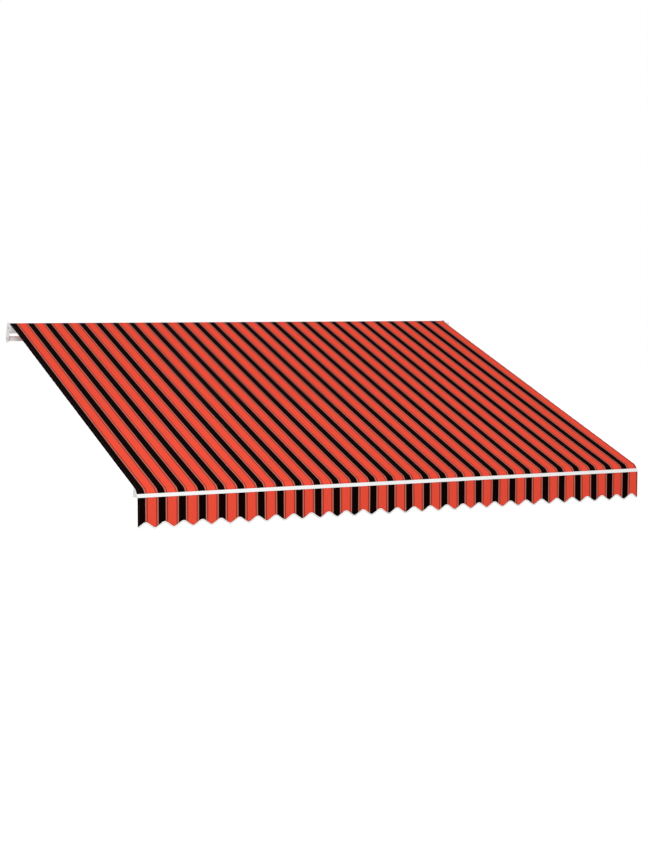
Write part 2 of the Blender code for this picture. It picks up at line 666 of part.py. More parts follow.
def hinge_room(pivot):
    """The bore for an arm's pin and the room for its hub between two ears, in the tilted frame."""
    reach = EAR_OUTER + GAP
    bore = cylinder_mesh("pin bore", PIN_BORE, -ARM_DROP - reach, -ARM_DROP + reach, "Z", pivot)
    radius = HUB_RADIUS + WEB_CLEARANCE
    room = cylinder_mesh("hub room", radius, -ARM_DROP - HUB_ROOM, -ARM_DROP + HUB_ROOM, "Z", pivot)
    return [bore, room]


def tilt_into(slope_frame, meshes):
    """Carries meshes from the tilted frame into the row frame."""
    bpy.context.view_layer.update()
    for mesh in meshes:
        mesh.transform(slope_frame.matrix_world)


def make_pin(name, frame):
    """A pivot pin at its frame's origin: head above the upper ear, tail below the lower one."""
    tail = -EAR_OUTER - PIN_HEAD_HEIGHT
    mesh = pin_mesh(name, PIN_RADIUS, PIN_HEAD_RADIUS, PIN_HEAD_HEIGHT, tail, EAR_OUTER + GAP)
    return make_object(name, mesh, ZINC, frame)


def spigot_mesh(start, end, side):
    """The tongue of a casting that sits in an arm's tube."""
    half_width = ARM_WIDTH / 2 - ARM_WALL - GAP
    half_height = ARM_HEIGHT / 2 - ARM_WALL - GAP
    middle = side * PIVOT_OFFSET
    low = (start, middle - half_width, -half_height)
    high = (end, middle + half_width, half_height)
    return box_mesh("spigot", low, high)


def make_knuckle(name, frame, side):
    """An arm's end that turns on a pin: a hub at its frame's origin, a neck and a spigot along +X."""
    low = side * (PIVOT_OFFSET - ARM_WIDTH / 2)
    high = side * (PIVOT_OFFSET + ARM_WIDTH / 2)
    root = rectangle(ARM_REACH - HUB_RADIUS / 2, low, ARM_REACH - GAP, high)
    neck = hull(circle((0, 0), HUB_RADIUS) + root)
    half = HUB_HEIGHT / 2
    knuckle = make_object(name, plate_mesh(name, [neck], -half, half, "XY"), WHITE_PAINT, frame)
    join(knuckle, spigot_mesh(ARM_REACH - 2 * GAP, ARM_REACH + SPIGOT_LENGTH, side))
    cut(knuckle, cylinder_mesh("pin bore", PIN_BORE, -half - GAP, half + GAP))
    return knuckle


def make_elbow_fork(name, frame, side):
    """The upper arm's far end: two ears around the elbow pin, a web beside them and a spigot in the tube."""
    low = side * (PIVOT_OFFSET - ARM_WIDTH / 2)
    high = side * (PIVOT_OFFSET + ARM_WIDTH / 2)
    start = ARM_LENGTH - ARM_REACH
    web = rectangle(start + GAP, low + side * FORK_WEB_INSET, ARM_LENGTH - HUB_RADIUS / 2, high)
    root = rectangle(start + GAP, low, start + HUB_RADIUS / 2, high)
    ear = hull(circle((ARM_LENGTH, 0), EAR_RADIUS) + root)
    fork = make_object(name, plate_mesh(name, [web], -EAR_OUTER, EAR_OUTER, "XY"), WHITE_PAINT, frame)
    ears = [plate_mesh("ear", [ear], face * EAR_INNER, face * EAR_OUTER, "XY") for face in (-1, 1)]
    join(fork, *ears, spigot_mesh(start - SPIGOT_LENGTH, start + 2 * GAP, side))
    elbow = (ARM_LENGTH, 0)
    hub_room = cylinder_mesh("hub room", HUB_RADIUS + WEB_CLEARANCE, -HUB_ROOM, HUB_ROOM, "Z", elbow)
    bore = cylinder_mesh("pin bore", PIN_BORE, -EAR_OUTER - GAP, EAR_OUTER + GAP, "Z", elbow)
    cut(fork, hub_room, bore)
    return fork


def make_arm_tube(name, frame, side):
    """The extruded tube between an arm's two castings."""
    outer = rounded_rectangle(ARM_WIDTH, ARM_HEIGHT, ARM_ROUNDING)
    half_width = ARM_WIDTH / 2 - ARM_WALL
    half_height = ARM_HEIGHT / 2 - ARM_WALL
    inner = rectangle(-half_width, -half_height, half_width, half_height)
    mesh = plate_mesh(name, [outer, inner], ARM_REACH, ARM_LENGTH - ARM_REACH, "YZ")
    mesh.transform(Matrix.Translation((0, side * PIVOT_OFFSET, 0)))
    return make_object(name, mesh, WHITE_PAINT, frame)


def make_spring(name, frame, side):
    """The close-wound pull spring inside the upper arm, its turns as one solid."""
    outer = ARM_HEIGHT / 2 - ARM_WALL - GAP
    inner = outer - SPRING_WALL
    ring = [(outer, SPRING_LENGTH), (outer, 0), (inner, 0), (inner, SPRING_LENGTH)]
    mesh = turned_mesh(name, ring, "X", (SPRING_START, side * PIVOT_OFFSET, 0))
    return make_object(name, mesh, ZINC, frame)


def make_arms(slope_frame, side, word):
    """Upper arm and forearm of one side, each in a frame on its own pivot with +X along the arm."""
    lean = math.pi / 2 - ARM_ANGLE
    upper_turn = -lean if side < 0 else -math.pi + lean
    fore_turn = -math.pi + lean if side < 0 else -lean
    hand = 1 if side < 0 else -1
    shoulder_place = (side * ARM_X, -SHOULDER_OUT, -ARM_DROP)
    elbow_x = side * (ARM_X - ARM_LENGTH * math.sin(ARM_ANGLE))
    elbow_y = -SHOULDER_OUT - ARM_LENGTH * math.cos(ARM_ANGLE)
    elbow_place = (elbow_x, elbow_y, -ARM_DROP)
    shoulder = make_frame(f"{word}_shoulder_axis", shoulder_place, (0, 0, upper_turn), slope_frame)
    elbow = make_frame(f"{word}_elbow_axis", elbow_place, (0, 0, fore_turn), slope_frame)
    shoulder_pin = make_frame(f"{word}_shoulder_pin_axis", shoulder_place, parent=slope_frame)
    make_pin(f"{word}_shoulder_pin", shoulder_pin)
    make_knuckle(f"{word}_shoulder_knuckle", shoulder, hand)
    make_arm_tube(f"{word}_upper_arm_tube", shoulder, hand)
    make_spring(f"{word}_arm_spring", shoulder, hand)
    make_elbow_fork(f"{word}_elbow_fork", shoulder, hand)
    elbow_pin = make_frame(f"{word}_elbow_pin_axis", elbow_place, parent=slope_frame)
    make_pin(f"{word}_elbow_pin", elbow_pin)
    make_knuckle(f"{word}_elbow_knuckle", elbow, hand)
    make_arm_tube(f"{word}_forearm_tube", elbow, hand)
    front_knuckle = make_knuckle(f"{word}_front_knuckle", elbow, -hand)
    turn_about_far_end(front_knuckle)


def turn_about_far_end(knuckle):
    """Moves a knuckle from its arm's near pivot to the far one, facing back along the arm."""
    flip = Matrix.Translation((ARM_LENGTH, 0, 0)) @ Matrix.Rotation(math.pi, 4, "Z")
    knuckle.data.transform(flip)
    for modifier in knuckle.modifiers:
        modifier.object.data.transform(flip)


def face_vectors():
    """Unit vectors in (out, up): down the slope, out of the canvas, down the front face, out of the face."""
    down = (math.cos(SLOPE), -math.sin(SLOPE))
    up = (math.sin(SLOPE), math.cos(SLOPE))
    face_down = (math.cos(FACE_ANGLE), -math.sin(FACE_ANGLE))
    face_out = (math.sin(FACE_ANGLE), math.cos(FACE_ANGLE))
    return down, up, face_down, face_out


def place(first, a, second, b):
    """A point at a along the first vector and b along the second, from the front bar's corner, as (y, z)."""
    out = first[0] * a + second[0] * b
    up = first[1] * a + second[1] * b
    return (-out, up)


def nose_arc(inset):
    """The round nose of the front bar, from the slope to the face, inset from the canvas's outer side."""
    down, up, _, _ = face_vectors()
    centre = place(down, -NOSE_TANGENT, up, -NOSE_RADIUS)
    radius = NOSE_RADIUS - inset
    points = []
    for step in range(NOSE_STEPS + 1):
        angle = SLOPE + (FACE_ANGLE - SLOPE) * step / NOSE_STEPS
        points.append((centre[0] - radius * math.sin(angle), centre[1] + radius * math.cos(angle)))
    return points


def keyhole(centre, mouth, radius, width, beyond):
    """The outline of a round channel with a straight mouth, whose sides run past it."""
    run = Vector(mouth) - Vector(centre)
    heading = math.atan2(run.y, run.x)
    half = math.asin(width / 2 / radius)
    outline = circle(centre, radius, 16, heading + half, 2 * math.pi - 2 * half)
    end = Vector(centre) + run.normalized() * (run.length + beyond)
    across = Vector((-run.y, run.x)).normalized() * width / 2
    return outline + [tuple(end - across), tuple(end + across)]


def bar_outline():
    """The front bar's section: under the canvas, round the nose, white face, bottom and back."""
    down, up, face_down, face_out = face_vectors()
    inset = CANVAS_THICKNESS + GAP
    return [
        place(down, -BAR_BACK, up, -inset),
        *nose_arc(inset),
        place(face_down, FACE_START, face_out, -inset),
        place(face_down, FACE_START, face_out, 0),
        place(face_down, FACE_END, face_out, 0),
        place(down, -BAR_BACK, up, -BAR_BACK_HEIGHT),
    ]


def valance_line():
    """The (y, z) where the valance leaves its slot, and the centre of the slot's channel."""
    _, _, face_down, face_out = face_vectors()
    edge = place(face_down, FACE_END, face_out, 0)
    leave = (edge[0] + VALANCE_BACK, edge[1])
    channel = (edge[0] + VALANCE_SLOT_BACK, edge[1] + VALANCE_SLOT_UP)
    return leave, channel


def hem_slot():
    """The centre of the channel for the canvas's front bead, and its mouth."""
    _, _, face_down, face_out = face_vectors()
    along = FACE_START - SLOT_MOUTH / 2
    return place(face_down, along, face_out, -HEM_SLOT_DEPTH), place(face_down, along, face_out, 0)


def make_front_bar(frame):
    """The extruded front bar: a hollow section with one slot for the canvas and one for the valance."""
    bar = make_object("front_bar", plate_mesh("bar", [bar_outline()], -HALF, HALF, "YZ"), WHITE_BAR, frame)
    channel, mouth = hem_slot()
    leave, valance_channel = valance_line()
    slots = [
        keyhole(channel, mouth, SLOT_RADIUS, SLOT_MOUTH, BEAD_RADIUS),
        keyhole(valance_channel, leave, SLOT_RADIUS, SLOT_MOUTH, BEAD_RADIUS),
    ]
    down, up, face_down, face_out = face_vectors()
    behind_slot = HEM_SLOT_DEPTH + SLOT_RADIUS + FRONT_WALL
    under_skin = CANVAS_THICKNESS + GAP + FRONT_WALL
    chamber = [
        place(down, -BAR_BACK + FRONT_WALL, up, -under_skin),
        place(down, -NOSE_TANGENT, up, -under_skin),
        place(face_down, NOSE_TANGENT, face_out, -behind_slot),
        place(face_down, FACE_END - behind_slot - SLOT_RADIUS, face_out, -behind_slot - FRONT_WALL),
        place(face_down, FACE_END, face_out, -2 * behind_slot),
        place(down, -BAR_BACK + FRONT_WALL, up, -BAR_BACK_HEIGHT + FRONT_WALL),
    ]
    end = HALF + GAP
    for outline in (*slots, chamber):
        cut(bar, plate_mesh("cut", [outline], -end, end, "YZ"))
    for side, word in SIDES:
        near = side * end
        far = side * (end + FRONT_CAP)
        cap = plate_mesh("cap", [bar_outline()], near, far, "YZ")
        make_object(f"{word}_front_cap", cap, PLASTIC, frame)


def make_hem(frame):
    """The canvas's front end, wrapped over the nose, with its bead in the front bar's upper slot."""
    _, _, face_down, face_out = face_vectors()
    channel, mouth = hem_slot()
    along = FACE_START - SLOT_MOUTH / 2 + CANVAS_THICKNESS / 2
    outer = [*nose_arc(0), place(face_down, along, face_out, 0)]
    inner = [*nose_arc(CANVAS_THICKNESS), place(face_down, along, face_out, -CANVAS_THICKNESS)]
    wrap = plate_mesh("hem", [outer + inner[::-1]], -HALF, HALF, "YZ")
    hem = make_object("canvas_hem", wrap, CANVAS_CLOTH, frame)
    bead = keyhole(channel, mouth, BEAD_RADIUS, CANVAS_THICKNESS, -CANVAS_THICKNESS / 2)
    join(hem, plate_mesh("bead", [bead], -HALF, HALF, "YZ"))


def wave(x):
    """Height of the valance's lower edge above its tips. The middle has a tip."""
    return WAVE_HEIGHT * (1 - math.cos(2 * math.pi * x / WAVE_PITCH)) / 2


def wave_points(lift):
    """The valance's wavy edge from left to right, lifted by a height above its tips."""
    _, _, face_down, face_out = face_vectors()
    tips = place(face_down, FACE_END, face_out, 0)[1] - VALANCE_DROP
    step = WAVE_PITCH / WAVE_STEPS
    count = math.ceil(HALF / step) - 1
    xs = [-HALF, *(i * step for i in range(-count, count + 1)), HALF]
    return [(x, tips + lift + wave(x)) for x in xs]


def make_valance(frame):
    """The valance: a sheet that hangs from the front bar's lower slot, cut in waves, with a bound hem."""
    leave, channel = valance_line()
    hang = leave[0]
    top = leave[1] - GAP
    outline = wave_points(0) + [(HALF, top), (-HALF, top)]
    low = hang - VALANCE_THICKNESS / 2
    high = hang + VALANCE_THICKNESS / 2
    valance = make_object("valance", plate_mesh("valance", [outline], low, high, "XZ"), VALANCE_CLOTH, frame)
    bead = keyhole(channel, leave, BEAD_RADIUS, VALANCE_THICKNESS, GAP * 2)
    join(valance, plate_mesh("bead", [bead], -HALF, HALF, "YZ"))
    binding = wave_points(-GAP - BINDING_HEIGHT) + wave_points(-GAP)[::-1]
    low = hang - BINDING_THICKNESS / 2
    high = hang + BINDING_THICKNESS / 2
    make_object("valance_binding", plate_mesh("binding", [binding], low, high, "XZ"), BINDING_TAPE, frame)


def make_front_bracket(slope_frame, side, word):
    """The bracket on the front bar's back that holds a forearm's pin between two ears."""
    x = side * ARM_X
    back_of_bar = CANVAS_FALL - BAR_BACK
    pivot_along = back_of_bar - FRONT_SETBACK
    half = FRONT_PLATE_WIDTH / 2
    tall = FRONT_PLATE_HEIGHT / 2
    plate_back = back_of_bar - GAP - FRONT_PLATE
    low = (x - half, -plate_back, -ARM_DROP - tall)
    high = (x + half, -back_of_bar + GAP, -ARM_DROP + tall)
    bracket = make_object(f"{word}_front_bracket", box_mesh("plate", low, high), WHITE_PAINT, slope_frame)
    pivot = (x, -pivot_along)
    inner = rectangle(x - EAR_RADIUS, -plate_back - GAP, x + EAR_RADIUS, -plate_back)
    ear = hull(circle(pivot, EAR_RADIUS) + inner)
    ears = []
    for face in (-1, 1):
        near = -ARM_DROP + face * EAR_INNER
        far = -ARM_DROP + face * EAR_OUTER
        ears.append(plate_mesh("ear", [ear], near, far, "XY"))
    web_end = -pivot_along - EAR_RADIUS
    web = rectangle(x + side * EAR_RADIUS, -plate_back - GAP, x + side * WEB_INNER, web_end)
    join(bracket, *ears, plate_mesh("web", [web], -ARM_DROP - EAR_OUTER, -ARM_DROP + EAR_OUTER, "XY"))
    cut(bracket, *hinge_room(pivot))
    pin_frame = make_frame(f"{word}_front_pin_axis", (*pivot, -ARM_DROP), parent=slope_frame)
    make_pin(f"{word}_front_pin", pin_frame)


def make_canvas(slope_frame):
    """The stretched canvas, from the roller to the nose of the front bar."""
    low = (-HALF, 0, -CANVAS_THICKNESS)
    high = (HALF, -(CANVAS_FALL - NOSE_TANGENT - GAP), 0)
    make_object("canvas", box_mesh("canvas", low, high), CANVAS_CLOTH, slope_frame)


row = make_frame("awning", (0, 0, 0))
slope = make_frame("slope", ROLL_LINE, (SLOPE, 0, 0), row)
corner_y, corner_z = slope_point(CANVAS_FALL, 0)
front = make_frame("front_corner", (0, corner_y, corner_z), parent=row)

make_torsion_bar(row)
for number, bracket_word in enumerate(("left", "centre", "right")):
    bracket_x = (number - 1) * BRACKET_SPACING
    make_wall_bracket(row, bracket_word, bracket_x)
    make_bracket_clamp(row, bracket_word, bracket_x)
make_roller(row)
make_cover(row)
make_gearbox(row, 1)
make_canvas(slope)
make_front_bar(front)
make_hem(front)
make_valance(front)
for hand_side, hand_word in SIDES:
    make_side(row, hand_side, hand_word)
    make_arm_support(row, hand_side, hand_word)
    make_tilt_fasteners(row, hand_side, hand_word)
    make_shoulder_bracket(row, slope, hand_side, hand_word)
    make_arms(slope, hand_side, hand_word)
    make_front_bracket(slope, hand_side, hand_word)
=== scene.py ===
"""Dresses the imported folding-arm awning with cloth, stitching, paint, light and a camera.

Metres, in the row frame: the wall is the plane Y = 0, the awning reaches out towards -Y and
X runs along the wall.
"""

import json
import math

import bpy
from mathutils import Matrix, Vector


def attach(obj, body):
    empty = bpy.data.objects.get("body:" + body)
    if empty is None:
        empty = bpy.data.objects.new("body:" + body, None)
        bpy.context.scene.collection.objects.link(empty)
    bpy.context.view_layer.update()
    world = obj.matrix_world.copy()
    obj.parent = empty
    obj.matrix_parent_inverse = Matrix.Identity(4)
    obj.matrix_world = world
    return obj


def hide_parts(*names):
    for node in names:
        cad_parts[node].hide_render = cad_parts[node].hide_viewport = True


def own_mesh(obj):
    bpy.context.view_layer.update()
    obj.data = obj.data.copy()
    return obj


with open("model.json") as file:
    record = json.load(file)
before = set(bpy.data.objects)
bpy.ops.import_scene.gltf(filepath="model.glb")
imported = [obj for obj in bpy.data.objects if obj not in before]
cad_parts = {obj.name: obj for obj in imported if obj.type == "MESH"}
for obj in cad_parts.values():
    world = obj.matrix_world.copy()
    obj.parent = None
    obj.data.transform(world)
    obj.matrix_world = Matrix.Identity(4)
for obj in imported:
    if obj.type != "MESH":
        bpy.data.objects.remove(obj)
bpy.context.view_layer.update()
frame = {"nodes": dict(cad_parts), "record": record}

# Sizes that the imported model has
WIDTH = 4.0
HALF = WIDTH / 2
SLOPE = math.radians(20.2)
ROLLER_AXIS = Vector((0, -0.070, 0.085))
ROLL_LINE = Vector((0, -0.083674, 0.122164))
CANVAS_RUN = 3.05777
TUBE_RADIUS = 0.0353
ROLL_RADIUS = 0.0387
CORNER = Vector((0, -2.974265, -0.941366))  # where the canvas's plane meets the plane of the bar's face
FACE_ANGLE = math.radians(56.0)
NOSE_RADIUS = 0.068
NOSE_TANGENT = 0.021963
FACE_START = 0.0335
VALANCE_Y = -3.005655
VALANCE_TOP = -0.992352
VALANCE_SLOT = Vector((0, -2.998155, -0.985852))
WAVE_TIPS = -1.191852
WAVE_HEIGHT = 0.036
WAVE_PITCH = 0.1341
TAPE_HEIGHT = 0.010
TAPE_TOP = 0.0004
WAVE_SHAPE = (0.483, 0.015, 0.021, 0.014)

# Directions down the canvas and out of it, and down the bar's face and out of that
DOWN = Vector((0, -math.cos(SLOPE), -math.sin(SLOPE)))
OUT = Vector((0, -math.sin(SLOPE), math.cos(SLOPE)))
FACE_DOWN = Vector((0, -math.cos(FACE_ANGLE), -math.sin(FACE_ANGLE)))
FACE_OUT = Vector((0, -math.sin(FACE_ANGLE), math.cos(FACE_ANGLE)))

# Cloth. RED_MIDDLE to PALE_END are shares of a repeat, LINE and PALE from the red band's middle
REPEATS = 28
REPEAT = 0.1429
CLOTH = 0.0007
CLOTH_SHINE = 0.01
EDGE_BLACK = 0.012
RED_MIDDLE = 0.700
CANVAS_SHIFT = 0.004
LINE_START = 0.210
LINE_END = 0.256
PALE_START = 0.270
PALE_END = 0.3235
STRIPE_BLUR = 0.003
WARP_PITCH = 0.0010
WEFT_PITCH = 0.0012
WEAVE_HEIGHT = 0.00018

# Sewing
SEAMS = (-1.0, 0.0, 1.0)
SEAM_WIDTH = 0.020
SEAM_EDGE = 0.0012
SEAM_ROW = 0.003
SEAMS_WITHIN = 1.5
SIDE_HEM = 0.024
HEM_EDGE = 0.0015
HEM_ROW = 0.004
VALANCE_ROW = 0.012
FOLD_HEIGHT = 0.0006
THREAD = (0.10, 0.09, 0.09, 1)
THREAD_CORE = 0.0004
THREAD_RIM = 0.0007
STITCH_PITCH = 0.0042
SEWN_DENT = 0.0035

# How the canvas lies. HELD and FADE are shares of its run, at each end and on to where it lies free
SAG = 0.0015
PUCKER = 0.0006
PUCKER_REACH = 0.05
RIPPLE = 0.0011
RIPPLE_REACH = 0.5
HELD_BY_ROLL = 0.02
ROLL_FADE = 0.06
HELD_BY_BAR = 0.05
BAR_FADE = 0.05
ROLL_TURNS = 4.4
SLOT_LIP = 0.0012
TUCK_DEPTH = 0.0045

# Steps of the sheets' grids
REPEAT_STEPS = 6
ROLL_REPEAT_STEPS = 3
NARROWEST_STEP = 0.0008
RUN_STEPS = 150
NOSE_STEPS = 10
TURN_STEPS = 48
DROP_STEPS = 18
WAVE_STEPS = 14

# Rounded edges of the hardware
ROUNDED = {
    "white_paint": 0.0009,
    "white_aluminium": 0.0014,
    "white_plastic": 0.0008,
    "zinc_steel": 0.0005,
}
SHARP_EDGE = math.radians(40)
WELD_DISTANCE = 0.00001

# Light and camera
WORLD_LIGHT = 0.55
KEY_PLACE = (-7.5, -12.0, 8.5)
KEY_TARGET = (0, -1.5, -0.5)
KEY_SIZE = 6.0
KEY_POWER = 1050
FLOOR_SIZE = 150.0
FLOOR_Z = -9.0
FLOOR_COLOUR = (0.86, 0.86, 0.86, 1)
FLOOR_GLOW = (0.36, 0.60)
GLOW_REACH = (4.0, 22.0)
CAMERA_PLACE = (-5.8879, -13.6433, 0.2526)
CAMERA_ANGLES = (26.2575, 4.137, -0.079)  # turned right, tipped down and rolled, in degrees
CAMERA_LENS = 72.19


def linear(red, green, blue):
    """A colour given in 0 to 255 display values, as the linear values that Blender takes."""
    values = []
    for channel in (red, green, blue):
        c = channel / 255
        values.append(c / 12.92 if c <= 0.04045 else ((c + 0.055) / 1.055) ** 2.4)
    return (*values, 1.0)


class Look:
    """A material and short ways to add nodes to it."""

    def __init__(self, name, roughness, metallic=0.0, specular=0.5):
        self.material = bpy.data.materials.new(name)
        self.material.use_nodes = True
        self.tree = self.material.node_tree
        self.shader = self.tree.nodes["Principled BSDF"]
        self.shader.inputs["Roughness"].default_value = roughness
        self.shader.inputs["Metallic"].default_value = metallic
        self.shader.inputs["Specular IOR Level"].default_value = specular
        self.place = self.tree.nodes.new("ShaderNodeTexCoord").outputs["Object"]
        split = self.tree.nodes.new("ShaderNodeSeparateXYZ")
        self.tree.links.new(self.place, split.inputs[0])
        self.x = split.outputs["X"]

    def set(self, socket, value):
        if isinstance(value, bpy.types.NodeSocket):
            self.tree.links.new(value, socket)
        else:
            socket.default_value = value

    def math(self, operation, *values, clamp=False):
        node = self.tree.nodes.new("ShaderNodeMath")
        node.operation = operation
        node.use_clamp = clamp
        for socket, value in zip(node.inputs, values):
            self.set(socket, value)
        return node.outputs[0]

    def mix(self, share, a, b):
        node = self.tree.nodes.new("ShaderNodeMix")
        node.data_type = "RGBA"
        self.set(node.inputs["Factor"], share)
        self.set(node.inputs["A"], a)
        self.set(node.inputs["B"], b)
        return node.outputs["Result"]

    def scaled(self, size):
        """Object coordinates stretched so that a texture's unit is size long on each axis."""
        node = self.tree.nodes.new("ShaderNodeMapping")
        self.tree.links.new(self.place, node.inputs["Vector"])
        node.inputs["Scale"].default_value = [1 / s for s in size]
        return node.outputs[0]

    def noise(self, size, detail=3.0, low=0.0, high=1.0):
        """Noise from low to high, with the grain that size gives along each axis.
        The texture's own values lie mostly between 0.3 and 0.7."""
        node = self.tree.nodes.new("ShaderNodeTexNoise")
        self.tree.links.new(self.scaled(size), node.inputs["Vector"])
        node.inputs["Scale"].default_value = 1.0
        node.inputs["Detail"].default_value = detail
        spread = self.tree.nodes.new("ShaderNodeMapRange")
        self.tree.links.new(node.outputs[0], spread.inputs["Value"])
        spread.inputs["From Min"].default_value = 0.3
        spread.inputs["From Max"].default_value = 0.7
        spread.inputs["To Min"].default_value = low
        spread.inputs["To Max"].default_value = high
        return spread.outputs[0]

    def cells(self, size, low=0.0, high=1.0):
        """One random value for each cell of a Voronoi pattern, from low to high."""
        node = self.tree.nodes.new("ShaderNodeTexVoronoi")
        self.tree.links.new(self.scaled(size), node.inputs["Vector"])
        node.inputs["Scale"].default_value = 1.0
        grey = self.tree.nodes.new("ShaderNodeSeparateColor")
        self.tree.links.new(node.outputs["Color"], grey.inputs[0])
        return self.math("MULTIPLY_ADD", grey.outputs[0], high - low, low)

    def wave(self, coordinate, period):
        """A smooth wave from 0 to 1 along a coordinate."""
        turns = self.math("MULTIPLY", coordinate, 2 * math.pi / period)
        return self.math("MULTIPLY_ADD", self.math("SINE", turns), 0.5, 0.5)

    def between(self, value, low, high, soft):
        """1 where value is between low and high, with soft edges."""
        rise = self.ramp(value, low - soft, low + soft)
        fall = self.ramp(value, high - soft, high + soft)
        return self.math("SUBTRACT", rise, fall, clamp=True)

    def ramp(self, value, low, high):
        return self.math("MULTIPLY_ADD", value, 1 / (high - low), -low / (high - low), clamp=True)

    def colour(self, value):
        self.set(self.shader.inputs["Base Color"], value)

    def bump(self, height, distance, strength):
        node = self.tree.nodes.new("ShaderNodeBump")
        node.inputs["Distance"].default_value = distance
        node.inputs["Strength"].default_value = strength
        self.set(node.inputs["Height"], height)
        existing = self.shader.inputs["Normal"].links
        if existing:
            self.tree.links.new(existing[0].from_socket, node.inputs["Normal"])
        self.tree.links.new(node.outputs[0], self.shader.inputs["Normal"])


def striped_look(name, red, black, pale, line, along, shift=0.0):
    """Woven stripes: a black and a red band in each repeat, with a pale and a dark line between.
    along is the direction of the warp threads, shift moves the pattern by a share of a repeat."""
    look = Look(name, 0.9, specular=CLOTH_SHINE)
    turns = look.math("MULTIPLY_ADD", look.x, 1 / REPEAT, HALF / REPEAT - shift - RED_MIDDLE + 0.5)
    off_red = look.math("ABSOLUTE", look.math("SUBTRACT", look.math("FRACT", turns), 0.5))
    shade = look.mix(look.ramp(off_red, PALE_END + STRIPE_BLUR, PALE_END - STRIPE_BLUR), black, pale)
    shade = look.mix(look.ramp(off_red, PALE_START + STRIPE_BLUR, PALE_START - STRIPE_BLUR), shade, red)
    shade = look.mix(look.between(off_red, LINE_START, LINE_END, STRIPE_BLUR), shade, line)
    shade = look.mix(look.math("LESS_THAN", look.x, EDGE_BLACK - HALF), shade, black)
    run = look.tree.nodes.new("ShaderNodeVectorMath")
    run.operation = "DOT_PRODUCT"
    look.tree.links.new(look.place, run.inputs[0])
    run.inputs[1].default_value = along
    length = run.outputs["Value"]
    faded = look.noise((0.9, 0.7, 0.7), 2.0, low=0.97, high=1.02)
    slub = look.noise((0.0011, 0.02, 0.02), 2.0, low=0.94, high=1.06)
    scaled = look.tree.nodes.new("ShaderNodeVectorMath")
    scaled.operation = "SCALE"
    look.tree.links.new(shade, scaled.inputs[0])
    look.tree.links.new(look.math("MULTIPLY", faded, slub), scaled.inputs["Scale"])
    warp = look.wave(look.x, WARP_PITCH)
    weft = look.wave(length, WEFT_PITCH)
    look.bump(look.math("MULTIPLY", warp, weft), WEAVE_HEIGHT, 0.6)
    return look, scaled.outputs[0], length


def stitches(look, off_row, along):
    """1 on the threads of a row of stitches, where off_row is the distance from the row."""
    on_row = look.ramp(off_row, THREAD_RIM, THREAD_CORE)
    part = look.math("FRACT", look.math("DIVIDE", along, STITCH_PITCH))
    off_middle = look.math("ABSOLUTE", look.math("SUBTRACT", part, 0.5))
    return look.math("MULTIPLY", on_row, look.ramp(off_middle, 0.42, 0.36))


def add_stitches(look, shade, rows, along):
    """Sewing thread over the cloth's colour, and the dent that its tension draws."""
    nearest = rows[0]
    for row in rows[1:]:
        nearest = look.math("MINIMUM", nearest, row)
    thread = stitches(look, nearest, along)
    look.bump(look.ramp(nearest, 0.0, SEWN_DENT), THREAD_CORE, 0.5)
    look.bump(thread, THREAD_CORE, 0.8)
    return look.mix(look.math("MULTIPLY", thread, 0.5), shade, THREAD)


def canvas_look():
    """The canvas's stripes, with two rows of stitches on each seam and one on each side hem."""
    look, shade, length = striped_look(
        "Striped canvas", red=linear(247, 83, 62), black=linear(13, 3, 3),
        pale=linear(190, 118, 104), line=linear(148, 47, 36), along=DOWN, shift=CANVAS_SHIFT,
    )
    inset = look.math("SUBTRACT", HALF, look.math("ABSOLUTE", look.x))
    hem = look.math("ABSOLUTE", look.math("SUBTRACT", inset, SIDE_HEM - HEM_ROW))
    nearest = look.math("SUBTRACT", look.math("FRACT", look.math("ADD", look.x, 0.5)), 0.5)
    from_middle = look.math("ABSOLUTE", look.math("SUBTRACT", nearest, SEAM_WIDTH / 2))
    seam = look.math("ABSOLUTE", look.math("SUBTRACT", from_middle, SEAM_WIDTH / 2 - SEAM_ROW))
    outside = look.math("GREATER_THAN", look.math("ABSOLUTE", look.x), SEAMS_WITHIN)
    look.colour(add_stitches(look, shade, [hem, look.math("ADD", seam, outside)], length))
    return look


def valance_look():
    """The valance's stripes, with a row of stitches at each end."""
    look, shade, length = striped_look(
        "Striped valance", red=linear(247, 83, 62), black=linear(14, 3, 3),
        pale=linear(190, 116, 102), line=linear(148, 47, 36), along=Vector((0, 0, -1)),
    )
    inset = look.math("SUBTRACT", HALF, look.math("ABSOLUTE", look.x))
    hem = look.math("ABSOLUTE", look.math("SUBTRACT", inset, VALANCE_ROW))
    look.colour(add_stitches(look, shade, [hem], length))
    return look


def tape_look():
    """White woven tape, ribbed along its length."""
    look = Look("White binding tape", 0.85, specular=0.2)
    tone = look.noise((0.05, 0.01, 0.01))
    look.colour(look.mix(tone, linear(243, 243, 241), linear(251, 251, 249)))
    look.bump(look.wave(look.x, 0.0011), 0.00012, 0.5)
    look.bump(look.noise((0.006, 0.006, 0.003), 2.0), 0.0003, 0.4)
    return look


def paint_look(name, dull, fresh, grain, height, roughness):
    """Powder coat: a fine orange-peel surface with a faint change of tone."""
    look = Look(name, roughness)
    tone = look.noise((0.18, 0.11, 0.13), 4.0)
    look.colour(look.mix(tone, dull, fresh))
    peel = look.noise((grain, grain, grain), 2.0)
    look.bump(peel, height, 0.5)
    worn = look.noise((0.05, 0.04, 0.04), low=roughness - 0.05, high=roughness + 0.07)
    look.set(look.shader.inputs["Roughness"], worn)
    return look


def galvanised_look():
    """Zinc spangles, each crystal a little lighter or darker."""
    look = Look("Galvanised steel", 0.42, metallic=0.9)
    crystals = look.cells((0.009, 0.006, 0.006))
    look.colour(look.mix(crystals, linear(150, 154, 158), linear(196, 199, 201)))
    look.set(look.shader.inputs["Roughness"], look.cells((0.007, 0.007, 0.007), 0.34, 0.52))
    look.bump(look.noise((0.002, 0.002, 0.002)), 0.0001, 0.4)
    return look


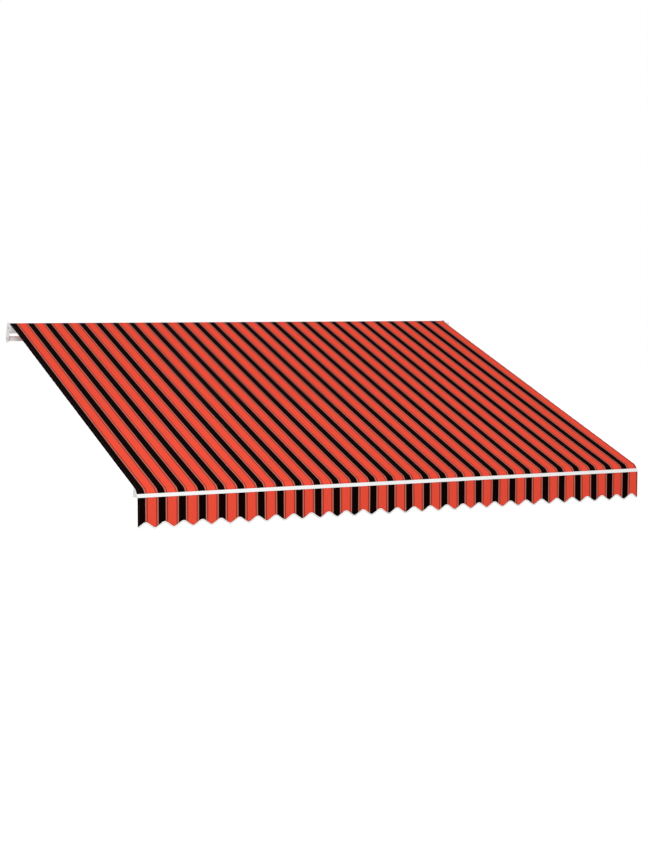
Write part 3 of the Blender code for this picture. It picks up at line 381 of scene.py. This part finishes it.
def zinc_look():
    """Bright zinc plating with fine blotches."""
    look = Look("Zinc plated steel", 0.3, metallic=1.0)
    tone = look.noise((0.012, 0.012, 0.012), 4.0)
    look.colour(look.mix(tone, linear(160, 163, 166), linear(205, 207, 208)))
    worn = look.noise((0.004, 0.004, 0.004), low=0.26, high=0.42)
    look.set(look.shader.inputs["Roughness"], worn)
    look.bump(look.noise((0.0009, 0.0009, 0.0009)), 0.00008, 0.4)
    return look


def plastic_look(name, dull, fresh, roughness):
    """Moulded plastic with a fine spark-eroded grain."""
    look = Look(name, roughness)
    look.colour(look.mix(look.noise((0.03, 0.03, 0.03)), dull, fresh))
    look.bump(look.noise((0.0006, 0.0006, 0.0006), 1.0), 0.00008, 0.6)
    return look


CANVAS = canvas_look()
VALANCE = valance_look()
TAPE = tape_look()
BAR_PAINT = paint_look(
    "White bar paint", dull=linear(244, 245, 244), fresh=linear(251, 251, 250),
    grain=0.0016, height=0.00006, roughness=0.32,
)
PAINT = paint_look(
    "White powder coat", dull=linear(236, 237, 236), fresh=linear(246, 246, 244),
    grain=0.0014, height=0.0001, roughness=0.4,
)
CAST_PAINT = paint_look(
    "White paint on castings", dull=linear(232, 233, 232), fresh=linear(243, 243, 241),
    grain=0.003, height=0.00025, roughness=0.42,
)
GALVANISED = galvanised_look()
ZINC = zinc_look()
WHITE_PLASTIC = plastic_look("White plastic", linear(236, 237, 235), linear(245, 245, 242), 0.45)
GREY_PLASTIC = plastic_look("Grey plastic", linear(96, 98, 100), linear(120, 122, 124), 0.5)


def make_piece(name, points, faces, look, body):
    """A smooth-shaded mesh with one material, riding on a body."""
    mesh = bpy.data.meshes.new(name)
    mesh.from_pydata([tuple(p) for p in points], [], faces)
    mesh.materials.append(look.material)
    mesh.shade_smooth()
    piece = bpy.data.objects.new(name, mesh)
    bpy.context.scene.collection.objects.link(piece)
    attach(piece, body)
    return piece


def grid(rows):
    """Points and faces of a sheet from rows of points of the same length."""
    count = len(rows[0])
    points = [p for row in rows for p in row]
    faces = []
    for r in range(len(rows) - 1):
        for c in range(count - 1):
            a = r * count + c
            faces.append((a, a + 1, a + count + 1, a + count))
    return points, faces


def shell(rows_top, rows_bottom):
    """A closed thin sheet between two grids of the same size."""
    points_top, faces_top = grid(rows_top)
    points_bottom, faces_bottom = grid(rows_bottom)
    shift = len(points_top)
    count = len(rows_top[0])
    last = (len(rows_top) - 1) * count
    faces = list(faces_top)
    faces += [tuple(i + shift for i in reversed(face)) for face in faces_bottom]
    rim = list(range(count))
    rim += [r * count + count - 1 for r in range(1, len(rows_top))]
    rim += list(range(last + count - 2, last - 1, -1))
    rim += [r * count for r in range(len(rows_top) - 2, 0, -1)]
    for a, b in zip(rim, rim[1:] + rim[:1]):
        faces.append((b, a, a + shift, b + shift))
    return points_top + points_bottom, faces


def steps(low, high, count):
    """count + 1 values from low to high, evenly spaced."""
    return [low + (high - low) * i / count for i in range(count + 1)]


def cloth_columns():
    """X of the canvas's columns: even steps, with extra ones at seams and side hems."""
    columns = set(round(x, 5) for x in steps(-HALF, HALF, REPEATS * REPEAT_STEPS))
    for seam in SEAMS:
        for offset in (0.0, SEAM_EDGE, SEAM_WIDTH - SEAM_EDGE, SEAM_WIDTH):
            columns.add(round(seam + offset, 5))
    for side in (-1, 1):
        for inset in (SIDE_HEM, SIDE_HEM + HEM_EDGE):
            columns.add(round(side * (HALF - inset), 5))
    ordered = sorted(columns)
    return [x for i, x in enumerate(ordered) if i == 0 or x - ordered[i - 1] > NARROWEST_STEP]


def seam_lift(x):
    """Extra height where two layers lie on each other: overlapped seams and folded side hems."""
    for seam in SEAMS:
        if seam - 1e-6 <= x <= seam + SEAM_WIDTH + 1e-6:
            edge = min(x - seam, seam + SEAM_WIDTH - x)
            return FOLD_HEIGHT * min(1.0, edge / SEAM_EDGE)
    edge = HALF - abs(x)
    if edge < SIDE_HEM:
        return FOLD_HEIGHT
    return FOLD_HEIGHT * max(0.0, 1 - (edge - SIDE_HEM) / HEM_EDGE)


def pucker(x, along):
    """Small ripples that stitching draws up along seams and hems."""
    near = min([abs(x - seam - SEAM_WIDTH / 2) for seam in SEAMS] + [HALF - abs(x)])
    strength = math.exp(-((near / PUCKER_REACH) ** 2))
    ripple = math.sin(along * 71.0 + x * 9.0) + 0.6 * math.sin(along * 113.0 + 1.7)
    return PUCKER * strength * ripple


def tension(x, along):
    """Long shallow waves that run from the roller to the front bar, strongest near each end."""
    end = math.exp(-along / RIPPLE_REACH) + math.exp(-(CANVAS_RUN - along) / RIPPLE_REACH)
    strength = 0.25 + 0.75 * min(1.0, end)
    ripple = math.sin(x * 8.3 + 0.9 * along) + 0.7 * math.sin(x * 17.1 - 0.6 * along + 2.0)
    return RIPPLE * strength * ripple


def canvas_height(x, along):
    """Height of the canvas's upper side above its straight plane."""
    t = along / CANVAS_RUN
    hang = 4 * t * (1 - t)
    across = 1 - 0.35 * (abs(x) / HALF) ** 4
    free = max(0.0, min(1.0, (t - HELD_BY_ROLL) / ROLL_FADE, (1 - t - HELD_BY_BAR) / BAR_FADE))
    ripples = seam_lift(x) + pucker(x, along) + tension(x, along)
    return -SAG * hang * across * free + free * ripples


def on_slope(x, along, out):
    """The point at x, along the canvas from the roll, and out of its plane."""
    return Vector((x, 0, 0)) + ROLL_LINE + DOWN * along + OUT * out


def make_canvas():
    """The stretched sheet between the roll and the front bar."""
    columns = cloth_columns()
    runs = steps(0, CANVAS_RUN, RUN_STEPS)
    top = [[on_slope(x, a, canvas_height(x, a)) for x in columns] for a in runs]
    bottom = [[on_slope(x, a, canvas_height(x, a) - CLOTH) for x in columns] for a in runs]
    points, faces = shell(bottom, top)
    canvas = make_piece("canvas_sheet", points, faces, CANVAS, "frame")
    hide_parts("canvas")
    return canvas


def nose_path(inset):
    """Points over the front bar's nose and down its face to the slot, inset from the cloth's outside."""
    centre = CORNER - DOWN * NOSE_TANGENT - OUT * NOSE_RADIUS
    path = []
    for i in range(NOSE_STEPS + 1):
        angle = SLOPE + (FACE_ANGLE - SLOPE) * i / NOSE_STEPS
        normal = Vector((0, -math.sin(angle), math.cos(angle)))
        path.append(centre + normal * (NOSE_RADIUS - inset))
    slot_end = FACE_START - SLOT_LIP
    path.append(CORNER + FACE_DOWN * (NOSE_TANGENT + 0.001) - FACE_OUT * inset)
    path.append(CORNER + FACE_DOWN * (slot_end - SLOT_LIP) - FACE_OUT * inset)
    path.append(CORNER + FACE_DOWN * (slot_end - 0.0003 - inset) - FACE_OUT * (inset + 0.0006))
    path.append(CORNER + FACE_DOWN * (slot_end - inset) - FACE_OUT * (inset + TUCK_DEPTH))
    return path


def make_nose():
    """The canvas's front end, wrapped over the bar and tucked into its slot."""
    columns = steps(-HALF, HALF, REPEATS * REPEAT_STEPS)
    top = [[Vector((x, 0, 0)) + p for x in columns] for p in nose_path(0.0)]
    bottom = [[Vector((x, 0, 0)) + p for x in columns] for p in nose_path(CLOTH)]
    points, faces = shell(bottom, top)
    nose = make_piece("canvas_front_hem", points, faces, CANVAS, "front_bar")
    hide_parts("canvas_hem")
    return nose


def make_roll():
    """The turns of canvas that stay wound on the roller, as one spiral sheet, and their length."""
    start = math.atan2(ROLL_LINE.z - ROLLER_AXIS.z, ROLL_LINE.y - ROLLER_AXIS.y)
    count = int(ROLL_TURNS * TURN_STEPS)
    columns = steps(-HALF, HALF, REPEATS * ROLL_REPEAT_STEPS)
    outer, inner = [], []
    for i in range(count + 1):
        angle = start - 2 * math.pi * ROLL_TURNS * i / count
        radius = ROLL_RADIUS - (ROLL_RADIUS - TUBE_RADIUS - CLOTH) * i / count
        spoke = Vector((0, math.cos(angle), math.sin(angle)))
        outer.append([Vector((x, 0, 0)) + ROLLER_AXIS + spoke * radius for x in columns])
        inner.append([Vector((x, 0, 0)) + ROLLER_AXIS + spoke * (radius - CLOTH) for x in columns])
    points, faces = shell(outer, inner)
    roll = make_piece("canvas_on_roller", points, faces, CANVAS, "roller")
    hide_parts("canvas_roll")
    return roll, ROLL_TURNS * 2 * math.pi * (ROLL_RADIUS + TUBE_RADIUS) / 2


def wave_edge(x):
    """Height of the valance's lower edge: round crests and slightly pointed tips."""
    turn = 2 * math.pi * x / WAVE_PITCH
    shape = sum(share * (1 - math.cos(k * turn)) for k, share in enumerate(WAVE_SHAPE, 1))
    return WAVE_TIPS + WAVE_HEIGHT * shape


def wave_normal(x):
    """Square to the wavy edge, upwards."""
    rise = wave_edge(x + 0.0005) - wave_edge(x - 0.0005)
    return Vector((-rise, 0, 0.001)).normalized()


def valance_swing(x, z):
    """How far the hanging cloth stands in front of its plane, more towards its lower edge."""
    down = max(0.0, (VALANCE_TOP - z) / (VALANCE_TOP - WAVE_TIPS))
    wide = 0.0020 * math.sin(x * 5.1 + 0.4) + 0.0013 * math.sin(x * 11.7 + 2.1)
    return down ** 1.5 * (wide + 0.0007 * math.sin(x * 23.0))


def wave_columns():
    """X of the valance's columns: the same steps on each wave, and both ends."""
    count = math.floor(HALF / WAVE_PITCH * WAVE_STEPS)
    inner = [i * WAVE_PITCH / WAVE_STEPS for i in range(-count, count + 1)]
    return [-HALF, *inner, HALF]


def make_valance():
    """The hanging sheet, whose upper edge turns back into the front bar's slot."""
    columns = wave_columns()
    top = Vector((0, VALANCE_Y, VALANCE_TOP))
    back = Vector((0, 0.5 * CLOTH, 0))
    into_slot = (VALANCE_SLOT - top).normalized()
    beside = Vector((0, -into_slot.z, into_slot.y)) * 0.5 * CLOTH
    front_rows = [[Vector((x, 0, 0)) + VALANCE_SLOT + beside for x in columns]]
    back_rows = [[Vector((x, 0, 0)) + VALANCE_SLOT - beside for x in columns]]
    for row in steps(0, 1, DROP_STEPS):
        line = []
        for x in columns:
            z = VALANCE_TOP + (wave_edge(x) - VALANCE_TOP) * row
            line.append(Vector((x, VALANCE_Y - valance_swing(x, z), z)))
        front_rows.append([p - back for p in line])
        back_rows.append([p + back for p in line])
    points, faces = shell(back_rows, front_rows)
    valance = make_piece("valance_sheet", points, faces, VALANCE, "front_bar")
    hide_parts("valance")
    return valance


def make_binding():
    """Tape folded over the wavy edge, front and back."""
    columns = wave_columns()
    front_half = [
        (0.0010, TAPE_TOP), (0.0014, TAPE_TOP - 0.0004), (0.0016, -TAPE_HEIGHT / 2),
        (0.0015, 0.0016 - TAPE_HEIGHT), (0.0009, 0.0003 - TAPE_HEIGHT),
    ]
    back_half = [(-forward, up) for forward, up in reversed(front_half)]
    profile = [*front_half, (0.0, -TAPE_HEIGHT), *back_half]
    rows = [[] for _ in profile]
    for x in columns:
        up_edge = wave_normal(x)
        edge = wave_edge(x)
        for row, (forward, up) in zip(rows, profile):
            point = Vector((x, 0, edge)) + up_edge * up
            point.y = VALANCE_Y - valance_swing(x, point.z) - forward
            point.x = max(-HALF, min(HALF, point.x))
            row.append(point)
    points, faces = grid(rows)
    count = len(columns)
    for end in (0, count - 1):
        rim = [r * count + end for r in range(len(rows))]
        faces.append(tuple(rim if end else rim[::-1]))
    top = (len(rows) - 1) * count
    for c in range(count - 1):
        faces.append((c + 1, c, top + c, top + c + 1))
    binding = make_piece("valance_tape", points, faces, TAPE, "front_bar")
    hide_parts("valance_binding")
    return binding


canvas = make_canvas()
nose = make_nose()
roll, roll_length = make_roll()
valance = make_valance()
binding = make_binding()

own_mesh(canvas)

LOOKS = {
    "front_bar_white": BAR_PAINT,
    "white_paint": PAINT,
    "white_aluminium": CAST_PAINT,
    "steel_tube": GALVANISED,
    "zinc_steel": ZINC,
    "white_plastic": WHITE_PLASTIC,
    "grey_plastic": GREY_PLASTIC,
    "canvas_cloth": CANVAS,
    "valance_cloth": VALANCE,
    "binding_tape": TAPE,
}

for subpart in frame["record"]["subparts"]:
    node = frame["nodes"][subpart["node"]]
    slot = subpart["material_slot"]
    node.data.materials.clear()
    node.data.materials.append(LOOKS[slot].material)
    if slot in ROUNDED:
        weld = node.modifiers.new("Weld", "WELD")
        weld.merge_threshold = WELD_DISTANCE
        bevel = node.modifiers.new("Round edges", "BEVEL")
        bevel.width = ROUNDED[slot]
        bevel.segments = 2
        bevel.limit_method = "ANGLE"
        bevel.angle_limit = SHARP_EDGE


def seen_rays(tree):
    """1 for rays from the camera and for mirrored or refracted ones."""
    path = tree.nodes.new("ShaderNodeLightPath")
    total = path.outputs["Is Camera Ray"]
    for name in ("Is Glossy Ray", "Is Transmission Ray"):
        add = tree.nodes.new("ShaderNodeMath")
        add.operation = "ADD"
        add.use_clamp = True
        tree.links.new(total, add.inputs[0])
        tree.links.new(path.outputs[name], add.inputs[1])
        total = add.outputs[0]
    return total


def make_world():
    """White for the camera and in reflections, and softer as a light."""
    world = bpy.data.worlds.new("Studio")
    bpy.context.scene.world = world
    world.use_nodes = True
    tree = world.node_tree
    lamp = tree.nodes["Background"]
    lamp.inputs["Color"].default_value = (1, 1, 1, 1)
    lamp.inputs["Strength"].default_value = WORLD_LIGHT
    seen = tree.nodes.new("ShaderNodeBackground")
    seen.inputs["Color"].default_value = (1, 1, 1, 1)
    mix = tree.nodes.new("ShaderNodeMixShader")
    tree.links.new(seen_rays(tree), mix.inputs[0])
    tree.links.new(lamp.outputs[0], mix.inputs[1])
    tree.links.new(seen.outputs[0], mix.inputs[2])
    tree.links.new(mix.outputs[0], tree.nodes["World Output"].inputs["Surface"])


def make_floor():
    """A wide pale floor far below the awning. It shows white where no shadow falls."""
    mesh = bpy.data.meshes.new("floor")
    corners = [(-FLOOR_SIZE, -FLOOR_SIZE, FLOOR_Z), (FLOOR_SIZE, -FLOOR_SIZE, FLOOR_Z)]
    corners += [(FLOOR_SIZE, FLOOR_SIZE, FLOOR_Z), (-FLOOR_SIZE, FLOOR_SIZE, FLOOR_Z)]
    mesh.from_pydata(corners, [], [(0, 1, 2, 3)])
    look = bpy.data.materials.new("Pale floor")
    look.use_nodes = True
    tree = look.node_tree
    shader = tree.nodes["Principled BSDF"]
    shader.inputs["Base Color"].default_value = FLOOR_COLOUR
    shader.inputs["Roughness"].default_value = 0.9
    shader.inputs["Specular IOR Level"].default_value = 0.1
    shader.inputs["Emission Color"].default_value = (1, 1, 1, 1)
    place = tree.nodes.new("ShaderNodeTexCoord")
    distance = tree.nodes.new("ShaderNodeVectorMath")
    distance.operation = "LENGTH"
    tree.links.new(place.outputs["Object"], distance.inputs[0])
    rise = tree.nodes.new("ShaderNodeMapRange")
    rise.interpolation_type = "SMOOTHSTEP"
    rise.inputs["From Min"].default_value = GLOW_REACH[0]
    rise.inputs["From Max"].default_value = GLOW_REACH[1]
    rise.inputs["To Min"].default_value = FLOOR_GLOW[0]
    rise.inputs["To Max"].default_value = FLOOR_GLOW[1]
    tree.links.new(distance.outputs["Value"], rise.inputs["Value"])
    glow = tree.nodes.new("ShaderNodeMath")
    glow.operation = "MULTIPLY"
    tree.links.new(rise.outputs[0], glow.inputs[1])
    tree.links.new(seen_rays(tree), glow.inputs[0])
    tree.links.new(glow.outputs[0], shader.inputs["Emission Strength"])
    mesh.materials.append(look)
    floor = bpy.data.objects.new("floor", mesh)
    bpy.context.scene.collection.objects.link(floor)


def make_key_lamp():
    """One soft lamp, high in front and to the left."""
    lamp = bpy.data.lights.new("key", "AREA")
    lamp.shape = "DISK"
    lamp.size = KEY_SIZE
    lamp.energy = KEY_POWER
    holder = bpy.data.objects.new("key", lamp)
    holder.location = KEY_PLACE
    aim = Vector(KEY_TARGET) - Vector(KEY_PLACE)
    holder.rotation_euler = aim.to_track_quat("-Z", "Y").to_euler()
    bpy.context.scene.collection.objects.link(holder)


def make_camera():
    """The photo's viewpoint: in front of the awning, to its left and a little above."""
    yaw, pitch, tilt = (math.radians(angle) for angle in CAMERA_ANGLES)
    ahead = math.cos(pitch)
    forward = Vector((math.sin(yaw) * ahead, math.cos(yaw) * ahead, -math.sin(pitch)))
    level = Vector((math.cos(yaw), -math.sin(yaw), 0))
    upright = level.cross(forward)
    right = level * math.cos(tilt) + upright * math.sin(tilt)
    up = upright * math.cos(tilt) - level * math.sin(tilt)
    lens = bpy.data.cameras.new("camera")
    lens.lens = CAMERA_LENS
    lens.sensor_width = 36.0
    lens.clip_end = 500.0
    camera = bpy.data.objects.new("camera", lens)
    turned = Matrix((right, up, -forward)).transposed().to_4x4()
    camera.matrix_world = Matrix.Translation(CAMERA_PLACE) @ turned
    bpy.context.scene.collection.objects.link(camera)
    bpy.context.scene.camera = camera


make_world()
make_floor()
make_key_lamp()
make_camera()
bpy.context.scene.view_settings.view_transform = "Standard"
